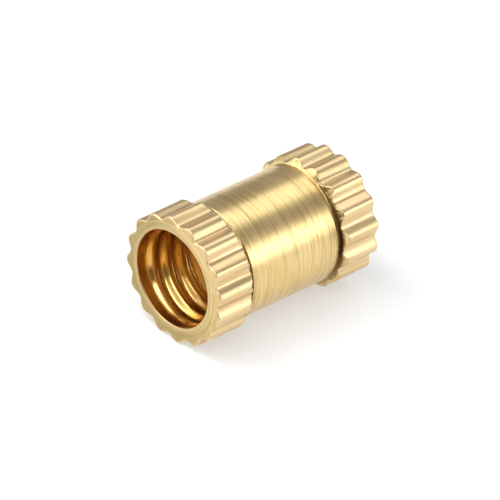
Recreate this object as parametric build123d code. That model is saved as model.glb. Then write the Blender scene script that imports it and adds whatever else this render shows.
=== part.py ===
from build123d import *
import math
import os

# Threaded insert: a bush turned from knurled brass bar. The bar's straight knurl is
# left as a band at each end, the waist between them is turned down below the tooth
# roots, and a tapped hole runs right through. Sizes are in millimetres.
# The hole lies along X, and the origin is on its axis, half way between the end faces.
# The insert lies on its side, on two neighbouring teeth of each band.

# Tapped hole: M4 coarse, with a plain lead-in and a small bevel at both mouths
thread_major_diameter = 4.0
thread_depth = 0.25
thread_pitch = 0.7
thread_root_flat = 0.0875
thread_flank_angle = 30.0
thread_start_angle = 162.0
lead_in_clearance = 0.02
lead_in_depth = 0.35
lead_in_point_angle = 120.0
mouth_bevel = 0.06

# Body: the waist's wall over the thread, and its two shoulders
insert_length = 8.0
waist_wall = 0.31
band_length = 1.75
shoulder_run = 0.19
rim_chamfer = 0.05

# Straight knurl: its roots stand a small step above the waist
tooth_count = 16
tooth_depth = 0.22
root_step = 0.07
tooth_tip_round_share = 0.235
tooth_root_round_share = 0.215

# How far a cutting shape reaches past the surface that it cuts
overrun = 0.3

half_length = insert_length / 2
major_radius = thread_major_diameter / 2
minor_radius = major_radius - thread_depth
waist_radius = major_radius + waist_wall
root_radius = waist_radius + root_step
tip_radius = root_radius + tooth_depth
half_tooth = math.pi / tooth_count
tooth_pitch = 2 * half_tooth * tip_radius


def polar(angle: float, distance: float) -> Vector:
    """Give the point at a distance from the axis, at an angle from a tooth's middle."""
    return Vector(distance * math.cos(angle), distance * math.sin(angle))


def mirrored(point: Vector, angle: float) -> Vector:
    """Mirror a point in the line from the axis at an angle."""
    return polar(2 * angle - math.atan2(point.Y, point.X), point.length)


def tooth_edges() -> list[Edge]:
    """Draw one tooth up to the next one's crown: crown, flank, root and flank."""
    tip_round = tooth_pitch * tooth_tip_round_share
    root_round = tooth_pitch * tooth_root_round_share
    crown_centre = polar(0, tip_radius - tip_round)
    root_centre = polar(half_tooth, root_radius + root_round)
    span = root_centre - crown_centre
    # The flank touches both rounds where their radii point along this angle.
    lean = math.atan2(span.Y, span.X) - math.acos((tip_round + root_round) / span.length)
    crown_end = crown_centre + polar(lean, tip_round)
    root_start = root_centre - polar(lean, root_round)
    root_end = mirrored(root_start, half_tooth)
    return [
        ThreePointArc(mirrored(crown_end, 0), polar(0, tip_radius), crown_end),
        Line(crown_end, root_start),
        ThreePointArc(root_start, polar(half_tooth, root_radius), root_end),
        Line(root_end, mirrored(crown_end, half_tooth)),
    ]


def knurled_bar() -> Part:
    """Make the knurled bar, turned so that a valley between two teeth faces down."""
    valley_down = math.degrees(half_tooth) - 90
    turns = [Rot(0, 0, valley_down + 360 * tooth / tooth_count) for tooth in range(tooth_count)]
    section = make_face([turn * edge for turn in turns for edge in tooth_edges()])
    return extrude(Plane.YZ * section, half_length, both=True)


def turned(outline: list[tuple[float, float]]) -> Part:
    """Revolve a closed outline of places along the axis and radii."""
    return revolve(Plane.XZ * make_face(Polyline(*outline, close=True)), Axis.X)


def lathe_form() -> Part:
    """Make the form that the lathe leaves: waist, sloping shoulders and chamfered rims."""
    clear_radius = tip_radius + overrun
    shoulder_slope = shoulder_run / (tip_radius - waist_radius)
    foot = half_length - band_length
    half = [
        (foot, waist_radius),
        (foot + shoulder_slope * (clear_radius - waist_radius), clear_radius),
        (half_length - rim_chamfer - overrun, clear_radius),
        (half_length, tip_radius - rim_chamfer),
        (half_length, 0),
    ]
    return turned(half + [(-place, radius) for place, radius in reversed(half)])


def tapping_drill() -> Part:
    """Make the plain hole at the thread's minor diameter."""
    return Rot(0, 90, 0) * Cylinder(minor_radius, insert_length + overrun)


def thread_groove() -> Part:
    """Make the right-hand groove that the tap cuts, running out in both lead-ins."""
    flare = math.tan(math.radians(thread_flank_angle))
    half_root = thread_root_flat / 2
    # The cutting edge starts a little inside the hole, so that the groove opens into it.
    inner = -thread_root_flat
    half_mouth = half_root + (thread_depth - inner) * flare
    outline = Polyline(
        (inner, -half_mouth),
        (thread_depth, -half_root),
        (thread_depth, half_root),
        (inner, half_mouth),
        close=True,
    )
    groove_length = insert_length - lead_in_depth
    path = Helix(thread_pitch, groove_length, minor_radius, (-groove_length / 2, 0, 0), (1, 0, 0))
    start = path @ 0
    section = Plane(start, x_dir=(0, start.Y, start.Z), z_dir=path % 0) * make_face(outline)
    return Rot(thread_start_angle, 0, 0) * sweep(section, path=path, is_frenet=True)


def mouth() -> Part:
    """Make the lead-in at the +X end: edge bevel, plain wall and a drill-pointed floor."""
    lead_in_radius = major_radius + lead_in_clearance
    lead_in_floor = half_length - lead_in_depth
    point_length = lead_in_radius / math.tan(math.radians(lead_in_point_angle / 2))
    return turned(
        [
            (half_length + overrun, 0),
            (half_length + overrun, lead_in_radius + mouth_bevel + overrun),
            (half_length - mouth_bevel, lead_in_radius),
            (lead_in_floor, lead_in_radius),
            (lead_in_floor - point_length, 0),
        ]
    )


bush = (knurled_bar() & lathe_form()) - tapping_drill()
insert = bush - thread_groove() - mouth() - mirror(mouth(), Plane.YZ)

os.makedirs("parts", exist_ok=True)
export_step(insert, "parts/threaded_insert.step")
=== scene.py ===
"""Brass threaded insert, lying on its side on a pale studio floor.

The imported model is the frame. The piece that shows is one closed skin of turned brass: two
knurled bands, the plain waist between them, both end faces and the tapped hole. Geometry
Nodes sweep a lathe section round the axis and press the knurl and the thread into it.
Sizes are in millimetres until a mesh is made, and the hole's axis is X.
"""

import logging
import math
from dataclasses import dataclass, field, fields, replace
from enum import Enum, IntEnum
from typing import Any

import bpy
from mathutils import Matrix, Quaternion, Vector


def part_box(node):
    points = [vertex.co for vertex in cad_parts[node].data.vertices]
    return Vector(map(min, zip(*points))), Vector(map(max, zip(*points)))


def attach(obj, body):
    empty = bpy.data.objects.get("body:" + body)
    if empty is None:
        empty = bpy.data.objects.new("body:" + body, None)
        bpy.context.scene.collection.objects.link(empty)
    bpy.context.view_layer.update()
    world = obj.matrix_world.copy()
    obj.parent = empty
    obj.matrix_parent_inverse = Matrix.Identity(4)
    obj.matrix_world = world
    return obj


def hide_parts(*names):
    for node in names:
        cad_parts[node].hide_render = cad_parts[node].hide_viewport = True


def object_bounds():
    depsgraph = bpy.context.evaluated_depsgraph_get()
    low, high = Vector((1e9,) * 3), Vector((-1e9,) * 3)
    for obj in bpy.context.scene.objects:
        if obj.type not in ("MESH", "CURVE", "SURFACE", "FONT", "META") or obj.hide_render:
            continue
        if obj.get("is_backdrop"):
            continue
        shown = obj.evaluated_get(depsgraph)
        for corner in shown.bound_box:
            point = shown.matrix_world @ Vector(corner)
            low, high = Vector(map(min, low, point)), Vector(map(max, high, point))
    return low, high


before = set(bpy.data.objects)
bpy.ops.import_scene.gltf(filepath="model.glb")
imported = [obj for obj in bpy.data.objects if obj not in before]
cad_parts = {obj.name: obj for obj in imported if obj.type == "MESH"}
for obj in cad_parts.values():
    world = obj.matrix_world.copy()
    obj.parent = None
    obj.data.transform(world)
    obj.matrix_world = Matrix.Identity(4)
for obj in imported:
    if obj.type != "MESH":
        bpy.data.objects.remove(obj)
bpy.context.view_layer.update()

LOG = logging.getLogger("threaded_insert")

MM = 0.001
NODE = "threaded_insert"
BODY = "root"

# Watts per square metre that make an area lamp as bright as its level says
LAMP_WATTS = 4.0

MATH = "ShaderNodeMath"
VECTOR_MATH = "ShaderNodeVectorMath"
COMBINE = "ShaderNodeCombineXYZ"
NOISE = "ShaderNodeTexNoise"
MIX = "ShaderNodeMix"
MAP_RANGE = "ShaderNodeMapRange"

# Settings of the sums that the trees do most
ADD = {"operation": "ADD"}
SUBTRACT = {"operation": "SUBTRACT"}
MULTIPLY = {"operation": "MULTIPLY"}
MULTIPLY_ADD = {"operation": "MULTIPLY_ADD"}
COSINE = {"operation": "COSINE"}
SCALE = {"operation": "SCALE"}


def linear(colour: str) -> tuple[float, float, float, float]:
    """Turn an sRGB hex colour into a linear one.

    Args:
        colour: The colour as "#RRGGBB".

    Returns:
        Linear red, green and blue, and an alpha of one.
    """
    shares = [int(colour[place : place + 2], 16) / 255 for place in (1, 3, 5)]
    low = 0.04045
    tones = [s / 12.92 if s <= low else ((s + 0.055) / 1.055) ** 2.4 for s in shares]
    return (tones[0], tones[1], tones[2], 1.0)


def spread(start: float, end: float, steps: int) -> list[float]:
    """Give evenly spaced values from start to end.

    Args:
        start: The first value.
        end: The last value.
        steps: How many gaps lie between them.

    Returns:
        The values, both ends included.
    """
    return [start + (end - start) * step / steps for step in range(steps + 1)]


def direction(azimuth: float, elevation: float) -> Vector:
    """Give the way from the insert to a place round it.

    Args:
        azimuth: Degrees round the insert from -Y towards +X.
        elevation: Degrees above the horizon.

    Returns:
        The unit vector.
    """
    around, rise = math.radians(azimuth), math.radians(elevation)
    level = math.cos(rise)
    return Vector((math.sin(around) * level, -math.cos(around) * level, math.sin(rise)))


def add_node(
    tree: bpy.types.NodeTree,
    kind: str,
    settings: dict[str, Any] | None = None,
    inputs: dict[str | int, Any] | list[Any] | None = None,
) -> bpy.types.Node:
    """Add one node with its settings and links.

    Args:
        tree: The tree that gets the node.
        kind: The node's type name.
        settings: Properties of the node and their values.
        inputs: What goes into its sockets, in their order or by name: a node, which stands
            for its first output, an output socket or a plain value.

    Returns:
        The new node.
    """
    node = tree.nodes.new(kind)
    for name, value in (settings or {}).items():
        setattr(node, name, value)
    pairs = inputs.items() if isinstance(inputs, dict) else enumerate(inputs or [])
    for key, value in pairs:
        source = value.outputs[0] if isinstance(value, bpy.types.Node) else value
        if isinstance(source, bpy.types.NodeSocket):
            tree.links.new(source, node.inputs[key])
        else:
            node.inputs[key].default_value = source
    return node


class Cut(IntEnum):
    """Which cut of the lathe leaves a row of the section."""

    OUTSIDE = 0
    FACE = 1
    BORE = 2


class Chance(Enum):
    """What varies by chance round the insert: how fine its noise is, and a shift of its own."""

    WANDER = (2.4, 0.0)
    HEIGHT = (2.6, 11.0)
    TRACK = (2.2, 23.0)
    LIP = (7.0, 31.0)
    TEAR = (9.0, 47.0)


@dataclass(frozen=True)
class Row:
    """One point of the lathe section, which becomes one row of the skin.

    station is the place along the axis and reach the distance from it. share is how far a
    face's row has gone from the mouth to the knurled rim. inset takes the rim's round off the
    teeth. ragged is how much the tool's tear shifts the row. relief sinks the groove at the
    shoulder's foot, and groove_shade is how much painted shade darkens the metal there. lean
    is how far the row lies back where the tool has not cut under the shoulder.
    """

    station: float
    reach: float
    cut: Cut
    share: float = 0.0
    inset: float = 0.0
    ragged: float = 0.0
    relief: float = 0.0
    # How much painted shade darkens this row of the shoulder's groove.
    groove_shade: float = 0.0
    lean: float = 0.0


@dataclass(frozen=True)
class InsertSizes:
    """Sizes of the insert in millimetres.

    The body's are the part's own, while thread, mouths, shoulders and rims are worn and
    rounded. thread_profile lists places along one pitch, and how far down the groove each is.
    mouth_edge is the last of the lead-in's wall, between the thread's rows and the bevel.
    """

    half_length: float
    thread_crest: float = 1.8
    thread_depth: float = 0.2
    thread_pitch: float = 0.7
    thread_start: float = 0.06
    thread_profile: tuple[tuple[float, float], ...] = (
        (0.0, 1.0),
        (0.04, 0.96),
        (0.1, 0.83),
        (0.18, 0.59),
        (0.26, 0.35),
        (0.34, 0.12),
        (0.39, 0.03),
        (0.44, 0.0),
        (0.56, 0.0),
        (0.62, 0.04),
        (0.69, 0.2),
        (0.78, 0.52),
        (0.87, 0.84),
        (0.93, 0.97),
    )
    lead_in_radius: float = 1.93
    lead_in_depth: float = 0.22
    lead_in_run: float = 0.6
    mouth_radius: float = 2.035
    mouth_bevel: float = 0.05
    mouth_edge: float = 0.012
    waist_radius: float = 2.31
    band_length: float = 1.75
    shoulder_run: float = 0.19
    wall_run: float = 0.012
    wall_height: float = 0.11
    relief_depth: float = 0.1
    relief_width: float = 0.15
    tip_radius: float = 2.6
    root_radius: float = 2.38
    near_rim_round: float = 0.06
    far_rim_round: float = 0.12
    face_crown: float = 0.02
    tooth_count: int = 16

    @property
    def thread_end(self) -> float:
        """Give the place along the axis where the thread's rows stop."""
        return self.half_length - self.mouth_bevel - self.mouth_edge


@dataclass
class LatheSection:
    """The closed section that is swept round the axis, row by row.

    groove_tear is how ragged the shoulder's foot is against its edge. edge_gaps and edge_shade
    place the waist's last rows before the groove and the painted shade on them, and shade_fade
    is how fast that painted shade fades up the slope. The slope's rows run on to slope_reach
    times its height, past the teeth's tips, and the band starts band_gap further on.
    face_shares and bevel_shares place the rows of an end face and of the mouth's bevel.
    """

    sizes: InsertSizes
    waist_steps: int = 8
    groove_steps: int = 8
    wall_steps: int = 4
    slope_steps: int = 12
    band_steps: int = 8
    rim_steps: int = 6
    groove_tear: float = 0.4
    edge_gaps: tuple[float, ...] = (0.1, 0.012)
    edge_shade: tuple[float, ...] = (0.12, 0.25)
    shade_fade: float = 2.0
    slope_reach: float = 1.4
    band_gap: float = 0.16
    face_shares: tuple[float, ...] = (0.94, 0.84, 0.7, 0.54, 0.38, 0.22, 0.08)
    bevel_shares: tuple[float, ...] = (0.0, 0.05, 0.12, 0.3, 0.5, 0.7, 0.88, 0.97, 1.0)

    def shoulder(self) -> list[Row]:
        """List the rows where the waist meets the +X band.

        Returns:
            The rows of the relief groove, the steep wall and the sloping ends of the teeth.
        """
        sizes = self.sizes
        foot = sizes.half_length - sizes.band_length
        wall = foot + sizes.wall_run
        ledge = sizes.waist_radius + sizes.wall_height
        rows = []
        # Painted shade darkens the groove's rows and the wall's, and it fades up the slope.
        for turn in spread(0.0, math.pi, self.groove_steps):
            station = foot - sizes.relief_width * (1 + math.cos(turn)) / 2
            rows.append(
                Row(
                    station,
                    sizes.waist_radius,
                    Cut.OUTSIDE,
                    ragged=self.groove_tear * math.sin(turn / 2) ** 2,
                    relief=math.sin(turn),
                    groove_shade=max(self.edge_shade[-1], math.sin(turn / 2)),
                )
            )
        slope = sizes.shoulder_run / (sizes.tip_radius - sizes.waist_radius)
        for share in spread(0.0, 1.0, self.wall_steps)[1:]:
            rise = sizes.wall_height * share
            run = sizes.wall_run * share
            rows.append(
                Row(
                    foot + run,
                    sizes.waist_radius + rise,
                    Cut.OUTSIDE,
                    ragged=self.groove_tear + (1 - self.groove_tear) * share,
                    groove_shade=1.0,
                    lean=slope * rise - run,
                )
            )
        for share in spread(0.0, self.slope_reach, self.slope_steps)[1:]:
            reach = ledge + (sizes.tip_radius - ledge) * share
            station = wall + (sizes.shoulder_run - sizes.wall_run) * share
            lean = foot + slope * (reach - sizes.waist_radius) - station
            groove_shade = max(0.0, 1.0 - self.shade_fade * share)
            rows.append(Row(station, reach, Cut.OUTSIDE, ragged=1.0, groove_shade=groove_shade, lean=lean))
        return rows

    def outside(self, rim_round: float) -> list[Row]:
        """List the rows from mid waist to the rim of the +X band.

        Args:
            rim_round: The radius of the round on the rim.

        Returns:
            The rows of waist, shoulder, band and rounded rim.
        """
        sizes = self.sizes
        groove = sizes.half_length - sizes.band_length - sizes.relief_width
        flat = sizes.half_length - sizes.face_crown - rim_round
        # The band's rows lie clear of the teeth, which then set their radius.
        clear = sizes.tip_radius * 2
        rows = []
        for station in spread(0.0, groove - self.edge_gaps[0], self.waist_steps)[:-1]:
            rows.append(Row(station, sizes.waist_radius, Cut.OUTSIDE))
        # The waist's last rows before the groove take a little painted shade.
        for gap, groove_shade in zip(self.edge_gaps, self.edge_shade):
            rows.append(Row(groove - gap, sizes.waist_radius, Cut.OUTSIDE, groove_shade=groove_shade))
        rows += self.shoulder()
        for station in spread(rows[-1].station + self.band_gap, flat, self.band_steps):
            rows.append(Row(station, clear, Cut.OUTSIDE))
        for turn in spread(0.0, math.pi / 2, self.rim_steps)[1:]:
            station = flat + rim_round * math.sin(turn)
            inset = rim_round * (1 - math.cos(turn))
            rows.append(Row(station, clear, Cut.OUTSIDE, inset=inset))
        return rows

    def face(self, rim_round: float) -> list[Row]:
        """List the rows from the rim across the +X end face and down the mouth's bevel.

        Args:
            rim_round: The radius of the round on the rim.

        Returns:
            The rows of the crowned face, the bevel and the head of the lead-in wall.
        """
        sizes = self.sizes
        rows = []
        for share in self.face_shares:
            station = sizes.half_length - sizes.face_crown * share**2
            rows.append(Row(station, sizes.mouth_radius, Cut.FACE, share, rim_round))
        for down in self.bevel_shares:
            turn = down * math.pi / 2
            station = sizes.half_length - sizes.mouth_bevel * (1 - math.cos(turn))
            drop = (sizes.mouth_radius - sizes.lead_in_radius) * math.sin(turn)
            rows.append(Row(station, sizes.mouth_radius - drop, Cut.FACE))
        rows.append(Row(sizes.thread_end, sizes.lead_in_radius, Cut.FACE))
        return rows

    def bore(self) -> list[Row]:
        """List the tapped hole's rows from the +X mouth to the -X mouth.

        Each row follows the helix, so it starts one pitch early and is cut off at the mouths.

        Returns:
            The rows, one for each point of the profile on every turn.
        """
        sizes = self.sizes
        limit = sizes.half_length
        turns = math.ceil(limit / sizes.thread_pitch + 1)
        rows = []
        for turn in range(-turns, turns + 1):
            for place, depth in sizes.thread_profile:
                station = sizes.thread_start + sizes.thread_pitch * (turn + place)
                reach = sizes.thread_crest + sizes.thread_depth * depth
                if -limit <= station <= limit + sizes.thread_pitch:
                    rows.append(Row(station, reach, Cut.BORE))
        return rows[::-1]

    @staticmethod
    def turned_about(rows: list[Row]) -> list[Row]:
        """Mirror rows to the other half of the insert and list them backwards."""
        return [
            replace(row, station=-row.station, ragged=-row.ragged, lean=-row.lean)
            for row in reversed(rows)
        ]

    def rows(self) -> list[Row]:
        """List every row once round the section, with the first one again at the end.

        Returns:
            The closed list of rows.
        """
        near, far = self.sizes.near_rim_round, self.sizes.far_rim_round
        loop = self.turned_about(self.outside(near)[1:]) + self.outside(far) + self.face(far)
        loop += self.bore() + self.turned_about(self.face(near))
        return loop + loop[:1]

    def mesh(self) -> bpy.types.Mesh:
        """Make the section's points, with each row's values as attributes.

        Returns:
            A mesh of loose points in the order of the rows.
        """
        rows = self.rows()
        mesh = bpy.data.meshes.new("lathe_section")
        mesh.from_pydata([(row.station * MM, 0.0, row.reach * MM) for row in rows], [], [])
        for entry in fields(Row):
            values = mesh.attributes.new(entry.name, "FLOAT", "POINT")
            values.data.foreach_set("value", [float(getattr(row, entry.name)) for row in rows])
        return mesh


@dataclass
class InsertSkin:
    """The insert's skin: the section swept round the axis, knurled and threaded.

    Lengths are in millimetres and angles in radians. The teeth follow a wave that tooth_swing
    and tooth_fullness shape, and the next fields make them uneven, as a worn roll does.
    tooth_drift is how fast that changes along them. burr and tear are how far the cut edges
    stand up and stray. The shoulders are cut under towards relief_side and keep clean_share
    of their tears elsewhere. The thread is deepest towards thread_side, has shallow_share of
    its depth across from it and worn_share near the mouths, which lie mouth_drift off centre.
    Wear is full down to the first depth of worn_reach and gone at the second. root_blend
    rounds the foot of the teeth, and bevel_fade shades a face into its bevel.
    """

    sizes: InsertSizes
    section: LatheSection
    columns_per_tooth: int = 18
    tooth_swing: float = 0.49
    tooth_fullness: float = 0.88
    tooth_lead: float = math.radians(0.36)
    tooth_wander: float = 0.5
    tooth_unevenness: float = 0.25
    double_track: float = 0.07
    tooth_drift: float = 0.06
    burr: float = 0.05
    tear: float = 0.28
    mouth_drift: float = 0.08
    relief_side: float = math.radians(-80.0)
    relief_bias: float = 3.0
    clean_share: float = 0.25
    thread_side: float = math.radians(174.0)
    thread_bias: float = 4.5
    shallow_share: float = 0.42
    worn_share: float = 0.95
    worn_reach: tuple[float, float] = (0.5, 1.6)
    root_blend: float = 0.03
    bevel_fade: float = 0.1
    weld: float = 0.0015
    seed: int = 7
    tree: bpy.types.NodeTree = field(init=False)
    given: Any = field(init=False)

    def inputs(self) -> dict[str, float | int]:
        """Name the tree's inputs.

        Returns:
            Each input's name and its value, a whole number or a real one.
        """
        sizes = self.sizes
        lead_in_end = sizes.half_length - sizes.lead_in_depth
        return {
            "Rows": len(self.section.rows()),
            "Columns": self.columns_per_tooth * sizes.tooth_count,
            "Tooth Count": sizes.tooth_count,
            "Tooth Root Radius": sizes.root_radius,
            "Tooth Depth": sizes.tip_radius - sizes.root_radius,
            "Tooth Fullness": self.tooth_fullness,
            "Tooth Lead": self.tooth_lead,
            "Tooth Wander": self.tooth_wander,
            "Tooth Unevenness": self.tooth_unevenness,
            "Double Track": self.double_track,
            "Burr": self.burr,
            "Tear": self.tear,
            "Mouth Drift": self.mouth_drift,
            "Relief Depth": sizes.relief_depth,
            "Relief Side": self.relief_side,
            "Relief Bias": self.relief_bias,
            "Clean Share": self.clean_share,
            "Thread Crest": sizes.thread_crest,
            "Thread Pitch": sizes.thread_pitch,
            "Thread Side": self.thread_side,
            "Thread Bias": self.thread_bias,
            "Shallow Share": self.shallow_share,
            "Worn Share": self.worn_share,
            "Worn Start": sizes.half_length - self.worn_reach[1],
            "Worn End": sizes.half_length - self.worn_reach[0],
            "Thread End": sizes.thread_end,
            "Lead-in Radius": sizes.lead_in_radius,
            "Lead-in Start": lead_in_end - sizes.lead_in_run,
            "Lead-in End": lead_in_end,
            "Seed": self.seed,
        }

    def open_tree(self) -> None:
        """Start the node tree and its named inputs."""
        self.tree = bpy.data.node_groups.new("insert_skin", "GeometryNodeTree")
        sockets = {"Section": "NodeSocketGeometry"}
        for name, amount in self.inputs().items():
            sockets[name] = "NodeSocketInt" if isinstance(amount, int) else "NodeSocketFloat"
        sockets["Finish"] = "NodeSocketMaterial"
        for name, kind in sockets.items():
            self.tree.interface.new_socket(name=name, in_out="INPUT", socket_type=kind)
        self.tree.interface.new_socket(
            name="Skin", in_out="OUTPUT", socket_type="NodeSocketGeometry"
        )
        self.given = add_node(self.tree, "NodeGroupInput").outputs

    def chance(self, kind: Chance, place: bpy.types.Node) -> bpy.types.Node:
        """Add seeded noise round the axis, from minus one half to one half.

        Args:
            kind: What the noise varies.
            place: Where the noise is read.

        Returns:
            The last node.
        """
        scale, shift = kind.value
        seed = add_node(self.tree, MATH, ADD, [self.given["Seed"], shift])
        noise = add_node(
            self.tree,
            NOISE,
            {"noise_dimensions": "4D"},
            {"Vector": place, "W": seed, "Scale": scale, "Detail": 1.0},
        )
        return add_node(self.tree, MATH, SUBTRACT, [noise, 0.5])

    def read_rows(self) -> dict[str, bpy.types.Node]:
        """Read each row's values and each column's turn on the grid.

        Returns:
            The values by name.
        """
        tree, given = self.tree, self.given
        index = add_node(tree, "GeometryNodeInputIndex")
        row = add_node(tree, MATH, {"operation": "MODULO"}, [index, given["Rows"]])
        column = add_node(tree, MATH, {"operation": "DIVIDE"}, [index, given["Rows"]])
        column = add_node(tree, MATH, {"operation": "FLOOR"}, [column])
        turn = add_node(tree, MATH, {"operation": "DIVIDE"}, [column, given["Columns"]])
        angle = add_node(tree, MATH, MULTIPLY, [turn, math.tau])
        read = {
            "turn": turn,
            "angle": angle,
            "across": add_node(tree, MATH, {"operation": "SINE"}, [angle]),
            "upward": add_node(tree, MATH, COSINE, [angle]),
        }
        for entry in fields(Row):
            named = add_node(
                tree,
                "GeometryNodeInputNamedAttribute",
                {"data_type": "FLOAT"},
                {"Name": entry.name},
            )
            read[entry.name] = add_node(
                tree,
                "GeometryNodeSampleIndex",
                {"data_type": "FLOAT", "domain": "POINT"},
                {"Geometry": given["Section"], "Value": named, "Index": row},
            )
        # The tool cut under the shoulders on one side, and tore their edges most there.
        read["undercut"] = self.facing(read, given["Relief Side"], given["Relief Bias"])
        torn = add_node(
            tree, MAP_RANGE, {}, [read["undercut"], 0.0, 1.0, given["Clean Share"], 1.0]
        )
        read["ragged"] = add_node(tree, MATH, MULTIPLY, [read["ragged"], torn])
        along = add_node(tree, MATH, MULTIPLY, [read["station"], self.tooth_drift])
        end = add_node(tree, MATH, {"operation": "SIGN"}, [read["station"]])
        read["ring"] = add_node(tree, COMBINE, {}, [read["across"], read["upward"], along])
        read["end_ring"] = add_node(tree, COMBINE, {}, [read["across"], read["upward"], end])
        return read

    def press_knurl(self, read: dict[str, bpy.types.Node]) -> bpy.types.Node:
        """Shape the teeth: even and rounded, wandering a little as a worn roll leaves them.

        Args:
            read: The values of rows and columns.

        Returns:
            The teeth's radius.
        """
        tree, given = self.tree, self.given
        lead = add_node(tree, MATH, MULTIPLY, [read["station"], given["Tooth Lead"]])
        led = add_node(tree, MATH, SUBTRACT, [read["angle"], lead])
        wander = self.chance(Chance.WANDER, read["ring"])
        wander = add_node(tree, MATH, MULTIPLY, [wander, given["Tooth Wander"]])
        phase = add_node(tree, MATH, MULTIPLY_ADD, [led, given["Tooth Count"], wander])
        swing = add_node(tree, MATH, COSINE, [phase])
        wave = add_node(tree, MATH, MULTIPLY_ADD, [swing, -self.tooth_swing, 1 - self.tooth_swing])
        wave = add_node(tree, MATH, {"operation": "POWER"}, [wave, given["Tooth Fullness"]])
        uneven = self.chance(Chance.HEIGHT, read["ring"])
        uneven = add_node(tree, MATH, MULTIPLY_ADD, [uneven, given["Tooth Unevenness"], 1.0])
        high = add_node(tree, MATH, MULTIPLY, [wave, uneven])
        teeth = add_node(
            tree, MATH, MULTIPLY_ADD, [high, given["Tooth Depth"], given["Tooth Root Radius"]]
        )
        # A second pass of the roll, slightly out of step, doubles some of the tracks.
        twice = add_node(tree, MATH, MULTIPLY, [phase, 2.0])
        twice = add_node(tree, MATH, COSINE, [twice])
        track = self.chance(Chance.TRACK, read["ring"])
        track = add_node(tree, MATH, MULTIPLY, [track, given["Double Track"]])
        teeth = add_node(tree, MATH, MULTIPLY_ADD, [track, twice, teeth])
        # The turning tool throws up a burr where it breaks out of the teeth.
        edge = add_node(tree, MATH, {"operation": "ABSOLUTE"}, [read["ragged"]])
        edge = add_node(tree, MATH, MULTIPLY, [edge, given["Burr"]])
        lip = self.chance(Chance.LIP, read["end_ring"])
        lip = add_node(tree, MATH, {"operation": "MAXIMUM"}, [lip, 0.0])
        teeth = add_node(tree, MATH, MULTIPLY_ADD, [lip, edge, teeth])
        return add_node(tree, MATH, SUBTRACT, [teeth, read["inset"]])

    def cut_face(self, read: dict[str, bpy.types.Node], teeth: bpy.types.Node) -> bpy.types.Node:
        """Shape an end face, from the mouth, a little off centre, out to the knurled rim.

        Args:
            read: The values of rows and columns.
            teeth: The teeth's radius.

        Returns:
            The face's radius.
        """
        tree, given = self.tree, self.given
        mouth = add_node(
            tree, MATH, MULTIPLY_ADD, [read["across"], given["Mouth Drift"], read["reach"]]
        )
        span = add_node(tree, MATH, SUBTRACT, [teeth, mouth])
        return add_node(tree, MATH, MULTIPLY_ADD, [span, read["share"], mouth])

    def tap_hole(self, read: dict[str, bpy.types.Node]) -> dict[str, bpy.types.Node]:
        """Shape the tapped hole: rows follow the right-hand helix and stop at the mouths.

        Args:
            read: The values of rows and columns.

        Returns:
            The hole's places along the axis, and its radius.
        """
        tree, given = self.tree, self.given
        climb = add_node(tree, MATH, MULTIPLY, [read["turn"], given["Thread Pitch"]])
        wound = add_node(tree, MATH, SUBTRACT, [read["station"], climb])
        stop = add_node(tree, MATH, MULTIPLY, [given["Thread End"], -1.0])
        wound = add_node(tree, MATH, {"operation": "MINIMUM"}, [wound, given["Thread End"]])
        wound = add_node(tree, MATH, {"operation": "MAXIMUM"}, [wound, stop])
        depth = add_node(tree, MATH, {"operation": "ABSOLUTE"}, [wound])
        plain = add_node(
            tree,
            MAP_RANGE,
            {"interpolation_type": "SMOOTHSTEP"},
            [depth, given["Lead-in Start"], given["Lead-in End"]],
        )
        # Screws have worn the first turns, and the tap cut one side of the hole deeper.
        used = add_node(tree, MAP_RANGE, {}, [depth, given["Worn Start"], given["Worn End"]])
        worn = add_node(tree, MAP_RANGE, {}, [used, 0.0, 1.0, 1.0, given["Worn Share"]])
        side = self.facing(read, given["Thread Side"], given["Thread Bias"])
        cut = add_node(tree, MAP_RANGE, {}, [side, 0.0, 1.0, given["Shallow Share"], 1.0])
        cut = add_node(tree, MATH, MULTIPLY, [cut, worn])
        groove = add_node(tree, MATH, SUBTRACT, [read["reach"], given["Thread Crest"]])
        thread = add_node(tree, MATH, MULTIPLY_ADD, [groove, cut, given["Thread Crest"]])
        radius = add_node(tree, MIX, {}, {0: plain, 2: thread, 3: given["Lead-in Radius"]})
        drift = add_node(tree, MATH, MULTIPLY, [used, given["Mouth Drift"]])
        radius = add_node(tree, MATH, MULTIPLY_ADD, [read["across"], drift, radius])
        return {"wound": wound, "radius": radius}

    def facing(self, read: dict[str, bpy.types.Node], side: Any, bias: Any) -> bpy.types.Node:
        """Tell how far each column faces one side of the insert.

        Args:
            read: The values of rows and columns.
            side: The angle of that side.
            bias: How fast the share falls away from it.

        Returns:
            A share, from nothing on the far side to one.
        """
        tree = self.tree
        away = add_node(tree, MATH, SUBTRACT, [read["angle"], side])
        share = add_node(tree, MATH, COSINE, [away])
        share = add_node(tree, MATH, MULTIPLY_ADD, [share, 0.5, 0.5])
        return add_node(tree, MATH, {"operation": "POWER"}, [share, bias])

    def cut_relief(self, read: dict[str, bpy.types.Node]) -> dict[str, bpy.types.Node]:
        """Sink the groove at a shoulder's foot, deepest on the side that the bar ran out to.

        Args:
            read: The values of rows and columns.

        Returns:
            How much painted shade darkens the groove, from none to one, the radius that is
            left, and how far the shoulder leans back along the axis.
        """
        tree, given = self.tree, self.given
        side = read["undercut"]
        sunk = add_node(tree, MATH, MULTIPLY, [side, read["relief"]])
        depth = add_node(tree, MATH, MULTIPLY, [sunk, given["Relief Depth"]])
        radius = add_node(tree, MATH, SUBTRACT, [read["reach"], depth])
        # Painted shade darkens the groove, most on the undercut side.
        groove_shade = add_node(tree, MATH, MULTIPLY, [side, read["groove_shade"]])
        uncut = add_node(tree, MATH, SUBTRACT, [1.0, side])
        lean = add_node(tree, MATH, MULTIPLY, [uncut, read["lean"]])
        return {"groove_shade": groove_shade, "radius": radius, "lean": lean}

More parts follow.
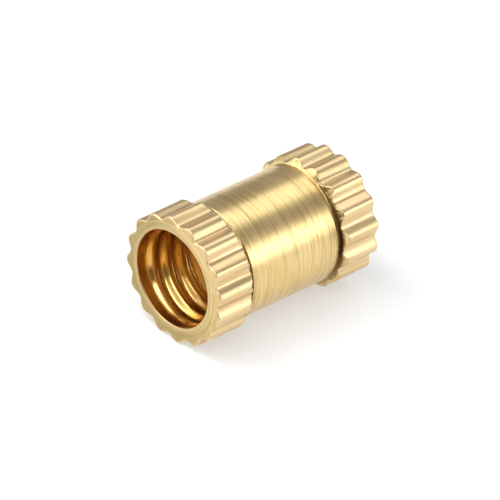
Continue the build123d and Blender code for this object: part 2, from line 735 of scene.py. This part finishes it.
    def build_tree(self) -> None:
        """Build the node tree that makes the skin."""
        self.open_tree()
        tree, given = self.tree, self.given
        read = self.read_rows()
        teeth = self.press_knurl(read)
        face = self.cut_face(read, teeth)
        hole = self.tap_hole(read)
        relief = self.cut_relief(read)
        radius = add_node(
            tree, MATH, {"operation": "SMOOTH_MIN"}, [relief["radius"], teeth, self.root_blend]
        )
        tear = self.chance(Chance.TEAR, read["end_ring"])
        tear = add_node(tree, MATH, MULTIPLY, [tear, given["Tear"]])
        along = add_node(tree, MATH, ADD, [read["station"], relief["lean"]])
        along = add_node(tree, MATH, MULTIPLY_ADD, [tear, read["ragged"], along])
        is_cut = {
            cut: add_node(tree, MATH, {"operation": "COMPARE"}, [read["cut"], float(cut), 0.5])
            for cut in Cut
        }
        for cut, place, reach in (
            (Cut.FACE, read["station"], face),
            (Cut.BORE, hole["wound"], hole["radius"]),
        ):
            along = add_node(tree, MIX, {}, {0: is_cut[cut], 2: along, 3: place})
            radius = add_node(tree, MIX, {}, {0: is_cut[cut], 2: radius, 3: reach})
        width = add_node(tree, MATH, MULTIPLY, [radius, read["across"]])
        height = add_node(tree, MATH, MULTIPLY, [radius, read["upward"]])
        spot = add_node(tree, COMBINE, {}, [along, width, height])
        spot = add_node(tree, VECTOR_MATH, SCALE, {0: spot, "Scale": MM})

        columns = add_node(tree, MATH, ADD, [given["Columns"], 1.0])
        grid = add_node(
            tree, "GeometryNodeMeshGrid", {}, {"Vertices X": columns, "Vertices Y": given["Rows"]}
        )
        skin = add_node(tree, "GeometryNodeSetPosition", {}, {"Geometry": grid, "Position": spot})
        # The finish tells the turned places, the end faces and the tapped hole apart, and gets
        # the painted shade of the shoulder grooves.
        below = add_node(tree, MATH, {"operation": "GREATER_THAN"}, [teeth, read["reach"]])
        marks = {
            "turned": add_node(tree, MATH, MULTIPLY, [below, is_cut[Cut.OUTSIDE]]),
            "faced": add_node(
                tree,
                MAP_RANGE,
                {},
                [read["share"], -self.bevel_fade, self.bevel_fade, 0.0, is_cut[Cut.FACE]],
            ),
            "tapped": is_cut[Cut.BORE],
            "shaded_groove": relief["groove_shade"],
        }
        for name, mark in marks.items():
            skin = add_node(
                tree,
                "GeometryNodeStoreNamedAttribute",
                {"data_type": "FLOAT", "domain": "POINT"},
                {"Geometry": skin, "Name": name, "Value": mark},
            )
        skin = add_node(
            tree, "GeometryNodeMergeByDistance", {}, {"Geometry": skin, "Distance": self.weld * MM}
        )
        # The section runs the way that leaves the grid's faces looking into the metal.
        skin = add_node(tree, "GeometryNodeFlipFaces", {}, {"Mesh": skin})
        skin = add_node(tree, "GeometryNodeSetShadeSmooth", {}, {"Geometry": skin})
        skin = add_node(tree, "GeometryNodeRealizeInstances", {}, {"Geometry": skin})
        skin = add_node(
            tree, "GeometryNodeSetMaterial", {}, {"Geometry": skin, "Material": given["Finish"]}
        )
        add_node(tree, "NodeGroupOutput", {}, {"Skin": skin})

    def build(self, finish: bpy.types.Material) -> bpy.types.Object:
        """Run the tree on the section and keep its result as a plain mesh.

        Args:
            finish: The brass that the skin is made of.

        Returns:
            The finished piece, at the origin.
        """
        self.build_tree()
        piece = bpy.data.objects.new("insert_skin", self.section.mesh())
        bpy.context.scene.collection.objects.link(piece)
        skin = piece.modifiers.new("skin", "NODES")
        skin.node_group = self.tree
        sockets = {item.name: item.identifier for item in self.tree.interface.items_tree}
        for name, amount in self.inputs().items():
            skin[sockets[name]] = amount
        skin[sockets["Finish"]] = finish
        bpy.context.view_layer.update()
        shaped = piece.evaluated_get(bpy.context.evaluated_depsgraph_get())
        mesh = bpy.data.meshes.new_from_object(shaped)
        piece.modifiers.clear()
        piece.data = mesh
        mesh.name = "insert_skin"
        return piece


@dataclass(frozen=True)
class MarkSet:
    """One set of marks on the metal: how many to the millimetre, finer detail and height."""

    rate: float
    detail: float
    weight: float = 0.0


@dataclass(frozen=True)
class TurnedBrass:
    """Free-cutting brass, cut bright on the lathe.

    The metal is a pale straw yellow that browns where it mirrors itself. The turning tool
    leaves fine lines and some deeper scores round the waist and on the end faces, and the roll
    leaves faint ones along the teeth. Painted shade darkens the grooves of the finest lines, the
    tapped hole, which is also warmer, the grooves at the shoulders and the end faces, and it
    thins to painted light towards one side of the faces.

    A span gives the two noise levels between which a mark goes from nothing to full, and a
    weight is a height against line_height, which is in millimetres. So is lit_face_span, along
    which the faces' painted shade thins to lit_face_shade towards lit_face_side, as painted
    light on that side of the faces.
    """

    pale: str = "#F2DAA2"
    deep: str = "#E3C382"
    rolled: str = "#E5CC9B"
    rolled_streak: str = "#D6B688"
    # Painted shade in the grooves of the finest lathe lines.
    line_shade_tone: str = "#A98748"
    score_tone: str = "#86683A"
    # The colour of the painted shade on the end faces.
    face_shade: str = "#BAA876"
    # Darker, warmer brass in the tapped hole: painted shade.
    hole_shade: str = "#D6AE6A"
    # The colour of the painted shade in the shoulder grooves.
    groove_shade: str = "#5E4423"
    rolled_roughness: float = 0.32
    turned_roughness: float = 0.25
    faced_roughness: float = 0.38
    tapped_roughness: float = 0.18
    cloud_roughness: float = 0.08
    line_height: float = 0.006
    # Such a cut feeds about 0.03 mm a turn. The lines are drawn coarser, so that they show.
    lathe_lines: tuple[MarkSet, ...] = (
        MarkSet(1.3, 1.0, 1.6),
        MarkSet(4.5, 3.0, 1.4),
        MarkSet(13.0, 4.0, 1.0),
    )
    line_apart: float = 7.0
    line_sharpness: float = 0.65
    line_wander: float = 0.35
    line_span: tuple[float, float] = (0.54, 0.36)
    line_share: float = 0.5
    scores: MarkSet = MarkSet(15.0, 1.0, -0.5)
    score_span: tuple[float, float] = (0.6, 0.7)
    score_share: float = 0.35
    # The roll's own lines are some hundredths of a millimetre wide, also drawn coarser.
    roll_lines: MarkSet = MarkSet(9.0, 2.0, 0.7)
    roll_stretch: float = 0.3
    streak_span: tuple[float, float] = (0.52, 0.34)
    # Pits are a tenth of a millimetre across, and the film's clouds about one.
    pits: MarkSet = MarkSet(9.0, 1.0, -0.6)
    pit_span: tuple[float, float] = (0.72, 0.78)
    clouds: MarkSet = MarkSet(1.1, 3.0)
    # Painted light: the faces' painted shade thins towards this side.
    lit_face_side: tuple[float, float, float] = (0.0, -0.87, 0.5)
    lit_face_span: tuple[float, float] = (-0.5, 2.0)
    lit_face_shade: float = 0.1

    def read_surface(self, tree: bpy.types.NodeTree) -> dict[str, Any]:
        """Read the places on the skin and which tool cut them.

        Args:
            tree: The material's tree.

        Returns:
            Coordinates in millimetres, and the share that each tool has in a place.
        """
        coords = add_node(tree, "ShaderNodeTexCoord")
        spot = add_node(tree, VECTOR_MATH, SCALE, {0: coords.outputs["Object"], "Scale": 1 / MM})
        seen: dict[str, Any] = {
            name: add_node(tree, "ShaderNodeAttribute", {"attribute_name": name}).outputs["Fac"]
            for name in ("turned", "faced", "tapped", "shaded_groove")
        }
        # Feed lines run round the axis on the waist and in rings on the faces.
        parts = add_node(tree, "ShaderNodeSeparateXYZ", {}, [spot])
        flat = add_node(tree, COMBINE, {}, [0.0, parts.outputs[1], parts.outputs[2]])
        radius = add_node(tree, VECTOR_MATH, {"operation": "LENGTH"}, [flat]).outputs["Value"]
        lathe = add_node(tree, MATH, ADD, [seen["turned"], seen["faced"]])
        cut = add_node(tree, MATH, ADD, [lathe, seen["tapped"]])
        return seen | {
            "spot": spot,
            "feed": add_node(tree, MIX, {}, {0: seen["faced"], 2: parts.outputs[0], 3: radius}),
            "slow": add_node(tree, VECTOR_MATH, SCALE, {0: flat, "Scale": self.line_wander}),
            "lathe": lathe,
            "rolled": add_node(tree, MATH, SUBTRACT, [1.0, cut]),
        }

    def feed_lines(
        self, tree: bpy.types.NodeTree, seen: dict[str, Any], lines: MarkSet
    ) -> bpy.types.Node:
        """Draw noise that is stretched into lines across the feed.

        Args:
            tree: The material's tree.
            seen: The places on the skin.
            lines: The set of lines to draw.

        Returns:
            The noise.
        """
        fast = add_node(tree, MATH, MULTIPLY, [seen["feed"], lines.rate])
        shift = add_node(tree, COMBINE, {}, [fast, self.line_apart * lines.rate, 0.0])
        spot = add_node(tree, VECTOR_MATH, ADD, [seen["slow"], shift])
        return add_node(
            tree,
            NOISE,
            {},
            {
                "Vector": spot,
                "Scale": 1.0,
                "Detail": lines.detail,
                "Roughness": self.line_sharpness,
            },
        )

    def tool_marks(self, tree: bpy.types.NodeTree, seen: dict[str, Any]) -> dict[str, Any]:
        """Draw what the tools leave: lines, scores, streaks and pits.

        Args:
            tree: The material's tree.
            seen: The places on the skin.

        Returns:
            The marks' height, the share of painted shade in the finest lines' grooves, and the
            share of scored and streaked metal.
        """
        height: Any = 0.0
        for lines in self.lathe_lines:
            drawn = self.feed_lines(tree, seen, lines)
            height = add_node(tree, MATH, MULTIPLY_ADD, [drawn, lines.weight, height])
        # The finest set darkens the metal in its grooves too, a painted shade on the real lines.
        shaded_lines = add_node(tree, MAP_RANGE, {}, [drawn, *self.line_span, 0.0, self.line_share])
        # A few deeper scores sink between the lines, and the metal is darker in them.
        score = self.feed_lines(tree, seen, self.scores)
        score = add_node(tree, MAP_RANGE, {}, [score, *self.score_span])
        height = add_node(tree, MATH, MULTIPLY_ADD, [score, self.scores.weight, height])
        height = add_node(tree, MATH, MULTIPLY, [height, seen["lathe"]])
        # The roll's lines run along the teeth.
        rate = self.roll_lines.rate
        stretch = add_node(
            tree, VECTOR_MATH, MULTIPLY, [seen["spot"], (self.roll_stretch, rate, rate)]
        )
        streaks = add_node(
            tree, NOISE, {}, {"Vector": stretch, "Scale": 1.0, "Detail": self.roll_lines.detail}
        )
        pressed = add_node(tree, MATH, MULTIPLY, [streaks, seen["rolled"]])
        height = add_node(tree, MATH, MULTIPLY_ADD, [pressed, self.roll_lines.weight, height])
        streaked = add_node(tree, MAP_RANGE, {}, [streaks, *self.streak_span])
        pits = add_node(
            tree,
            NOISE,
            {},
            {"Vector": seen["spot"], "Scale": self.pits.rate, "Detail": self.pits.detail},
        )
        pits = add_node(tree, MAP_RANGE, {}, [pits, *self.pit_span])
        height = add_node(tree, MATH, MULTIPLY_ADD, [pits, self.pits.weight, height])
        scored = add_node(tree, MATH, MULTIPLY_ADD, [score, seen["lathe"], pits])
        return {
            "height": height,
            "shaded_lines": add_node(tree, MATH, MULTIPLY, [shaded_lines, seen["lathe"]]),
            "scored": add_node(tree, MATH, MULTIPLY, [scored, self.score_share]),
            "streaked": add_node(tree, MATH, MULTIPLY, [streaked, seen["rolled"]]),
        }

    def tone(
        self,
        tree: bpy.types.NodeTree,
        seen: dict[str, Any],
        marks: dict[str, Any],
        cloud: bpy.types.Node,
    ) -> bpy.types.NodeSocket:
        """Lay each finish's colour, and each painted shade, over the bare metal's.

        Args:
            tree: The material's tree.
            seen: The places on the skin.
            marks: What the tools leave.
            cloud: The noise between the pale and the deep tone of the metal.

        Returns:
            The colour.
        """
        # The end faces take a painted shade, which thins to painted light towards one side.
        toward_light = add_node(
            tree, VECTOR_MATH, {"operation": "DOT_PRODUCT"}, [seen["spot"], self.lit_face_side]
        ).outputs["Value"]
        face_shading = add_node(tree, MAP_RANGE, {}, [toward_light, *self.lit_face_span, 1.0, self.lit_face_shade])
        face_shading = add_node(tree, MATH, MULTIPLY, [face_shading, seen["faced"]])
        colour: Any = linear(self.deep)
        for share, finish in (
            (cloud, self.pale),
            (seen["rolled"], self.rolled),
            (marks["streaked"], self.rolled_streak),
            (face_shading, self.face_shade),
            (seen["tapped"], self.hole_shade),
            (marks["shaded_lines"], self.line_shade_tone),
            (marks["scored"], self.score_tone),
            (seen["shaded_groove"], self.groove_shade),
        ):
            colour = add_node(
                tree, MIX, {"data_type": "RGBA"}, {0: share, 6: colour, 7: linear(finish)}
            ).outputs[2]
        return colour

    def material(self) -> bpy.types.Material:
        """Make the brass.

        Returns:
            The finished material.
        """
        brass = bpy.data.materials.new("free_cutting_brass")
        brass.use_nodes = True
        tree = brass.node_tree
        tree.nodes.clear()
        seen = self.read_surface(tree)
        marks = self.tool_marks(tree, seen)
        cloud = add_node(
            tree,
            NOISE,
            {},
            {"Vector": seen["spot"], "Scale": self.clouds.rate, "Detail": self.clouds.detail},
        )
        rough: Any = self.rolled_roughness
        for name, level in (
            ("turned", self.turned_roughness),
            ("faced", self.faced_roughness),
            ("tapped", self.tapped_roughness),
        ):
            rough = add_node(tree, MIX, {}, {0: seen[name], 2: rough, 3: level})
        rough = add_node(tree, MATH, MULTIPLY_ADD, [cloud, self.cloud_roughness, rough])
        bump = add_node(
            tree,
            "ShaderNodeBump",
            {},
            {"Height": marks["height"], "Distance": self.line_height * MM},
        )
        metal = add_node(
            tree,
            "ShaderNodeBsdfPrincipled",
            {},
            {
                "Base Color": self.tone(tree, seen, marks, cloud),
                "Metallic": 1.0,
                "Roughness": rough,
                "Normal": bump,
            },
        )
        add_node(tree, "ShaderNodeOutputMaterial", {}, {"Surface": metal})
        return brass


@dataclass(frozen=True)
class Softbox:
    """A panel of soft light that faces the insert. Angles are in degrees, sizes in metres."""

    name: str
    azimuth: float
    elevation: float
    width: float
    height: float
    level: float
    roll: float = 0.0
    distance: float = 0.16

    def build(self) -> bpy.types.Object:
        """Hang the lamp and aim it at the insert.

        Returns:
            The lamp.
        """
        lamp = bpy.data.lights.new(self.name, "AREA")
        lamp.shape = "RECTANGLE"
        lamp.size = self.width
        lamp.size_y = self.height
        lamp.energy = LAMP_WATTS * self.width * self.height * self.level
        holder = bpy.data.objects.new(self.name, lamp)
        away = direction(self.azimuth, self.elevation)
        holder.location = away * self.distance
        aim = (-away).to_track_quat("-Z", "Y")
        aim @= Quaternion((0.0, 0.0, 1.0), math.radians(self.roll))
        holder.rotation_euler = aim.to_euler()
        bpy.context.scene.collection.objects.link(holder)
        return holder


@dataclass
class Studio:
    """The pale floor, the room round it and the soft lamps.

    white_share is how much of the floor shows as plain white. The room's dark end lies at the
    azimuth and elevation dark_end, keeps dark_share of the room's level and fades out between
    the two angles of dark_reach. All angles are in degrees.
    """

    floor_colour: str = "#F4F4F4"
    floor_half_width: float = 2.0
    white_share: float = 0.42
    room_colour: str = "#FFFFFF"
    room_level: float = 0.37
    dark_end: tuple[float, float] = (-22.0, 10.0)
    dark_reach: tuple[float, float] = (22.0, 45.0)
    dark_share: float = 0.35
    softboxes: tuple[Softbox, ...] = (
        Softbox("front_softbox", 39.0, 18.0, 0.16, 0.07, 2.0),
        Softbox("side_softbox", 107.0, 52.0, 0.085, 0.085, 1.2),
        Softbox("left_softbox", -128.0, 24.0, 0.16, 0.12, 1.3),
        Softbox("strip_softbox", -77.0, 66.5, 0.05, 0.3, 4.2, roll=74.0),
        Softbox("back_softbox", -157.0, 56.0, 0.16, 0.15, 0.5),
    )

    def build_floor(self, level: float) -> bpy.types.Object:
        """Lay the floor.

        Args:
            level: The height of the insert's lowest teeth, in metres.

        Returns:
            The floor.
        """
        reach = self.floor_half_width
        sides = ((-1, -1), (1, -1), (1, 1), (-1, 1))
        corners = [(reach * across, reach * along, level) for across, along in sides]
        mesh = bpy.data.meshes.new("studio_floor")
        mesh.from_pydata(corners, [], [(0, 1, 2, 3)])
        paper = bpy.data.materials.new("matt_white_paper")
        paper.use_nodes = True
        tree = paper.node_tree
        tree.nodes.clear()
        matt = add_node(tree, "ShaderNodeBsdfDiffuse", {}, {"Color": linear(self.floor_colour)})
        # To the eye, and in the metal, part of the paper is plain white, so shadows stay pale.
        white = add_node(tree, "ShaderNodeEmission", {}, {"Strength": 1.0})
        rays = add_node(tree, "ShaderNodeLightPath").outputs
        seen = add_node(tree, MATH, ADD, [rays["Is Camera Ray"], rays["Is Glossy Ray"]])
        seen = add_node(tree, MATH, ADD, [seen, rays["Is Transmission Ray"]])
        share = add_node(tree, MATH, MULTIPLY, [seen, self.white_share])
        paper_mix = add_node(tree, "ShaderNodeMixShader", {}, [share, matt, white])
        add_node(tree, "ShaderNodeOutputMaterial", {}, {"Surface": paper_mix})
        mesh.materials.append(paper)
        floor = bpy.data.objects.new("studio_floor", mesh)
        bpy.context.scene.collection.objects.link(floor)
        floor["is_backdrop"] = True
        return floor

    def build_room(self) -> None:
        """Set the room's even light, with its dark end."""
        world = bpy.data.worlds.new("studio_room")
        world.use_nodes = True
        tree = world.node_tree
        tree.nodes.clear()
        coords = add_node(tree, "ShaderNodeTexCoord")
        turned = add_node(
            tree,
            VECTOR_MATH,
            {"operation": "DOT_PRODUCT"},
            [coords.outputs["Generated"], direction(*self.dark_end)],
        ).outputs["Value"]
        inner, outer = (math.cos(math.radians(angle)) for angle in self.dark_reach)
        level = add_node(
            tree,
            MAP_RANGE,
            {"interpolation_type": "SMOOTHSTEP"},
            [turned, outer, inner, self.room_level, self.room_level * self.dark_share],
        )
        glow = add_node(
            tree,
            "ShaderNodeBackground",
            {},
            {"Color": linear(self.room_colour), "Strength": level},
        )
        add_node(tree, "ShaderNodeOutputWorld", {}, {"Surface": glow})
        bpy.context.scene.world = world

    def build(self, level: float) -> None:
        """Set up floor, room and lamps.

        Args:
            level: The floor's height, in metres.
        """
        self.build_floor(level)
        self.build_room()
        for softbox in self.softboxes:
            softbox.build()
            LOG.info("lamp %s", softbox.name)


@dataclass(frozen=True)
class PhotoCamera:
    """The long lens that the insert is seen through.

    Angles are in degrees, the distance in metres and the sensor's width in millimetres. The
    insert's middle shows at centre_x and centre_y, in pixels, at pixels_per_mm.
    """

    azimuth: float = -45.149
    elevation: float = 34.079
    roll: float = 4.693
    distance: float = 0.208
    sensor_width: float = 36.0
    pixels_per_mm: float = 27.1173
    frame_pixels: float = 500.0
    centre_x: float = 253.52
    centre_y: float = 243.35

    def build(self) -> bpy.types.Object:
        """Place the camera and make it the scene's.

        Returns:
            The camera.
        """
        back = direction(self.azimuth, self.elevation)
        side = direction(self.azimuth + 90.0, 0.0)
        up = back.cross(side)
        tilt = math.radians(self.roll)
        right = side * math.cos(tilt) + up * math.sin(tilt)
        above = up * math.cos(tilt) - side * math.sin(tilt)
        lens = bpy.data.cameras.new("photo_camera")
        lens.sensor_width = self.sensor_width
        spread_at_insert = self.frame_pixels / self.pixels_per_mm * MM
        lens.lens = self.sensor_width * self.distance / spread_at_insert
        lens.shift_x = (self.frame_pixels / 2 - self.centre_x) / self.frame_pixels
        lens.shift_y = (self.centre_y - self.frame_pixels / 2) / self.frame_pixels
        camera = bpy.data.objects.new("photo_camera", lens)
        turned = Matrix((right, above, back)).transposed().to_4x4()
        camera.matrix_world = Matrix.Translation(back * self.distance) @ turned
        bpy.context.scene.collection.objects.link(camera)
        bpy.context.scene.camera = camera
        return camera


def main() -> None:
    """Build the insert, the studio and the camera, and report each piece."""
    logging.basicConfig(level=logging.INFO, format="%(message)s")
    low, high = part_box(NODE)
    sizes = InsertSizes(half_length=(high.x - low.x) / 2 / MM)
    finish = TurnedBrass().material()
    piece = InsertSkin(sizes, LatheSection(sizes)).build(finish)
    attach(piece, BODY)
    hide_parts(NODE)
    LOG.info("piece %s: %d faces", piece.name, len(piece.data.polygons))
    Studio().build(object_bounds()[0].z)
    PhotoCamera().build()
    bpy.context.scene.view_settings.view_transform = "Standard"


if __name__ == "__main__":
    main()
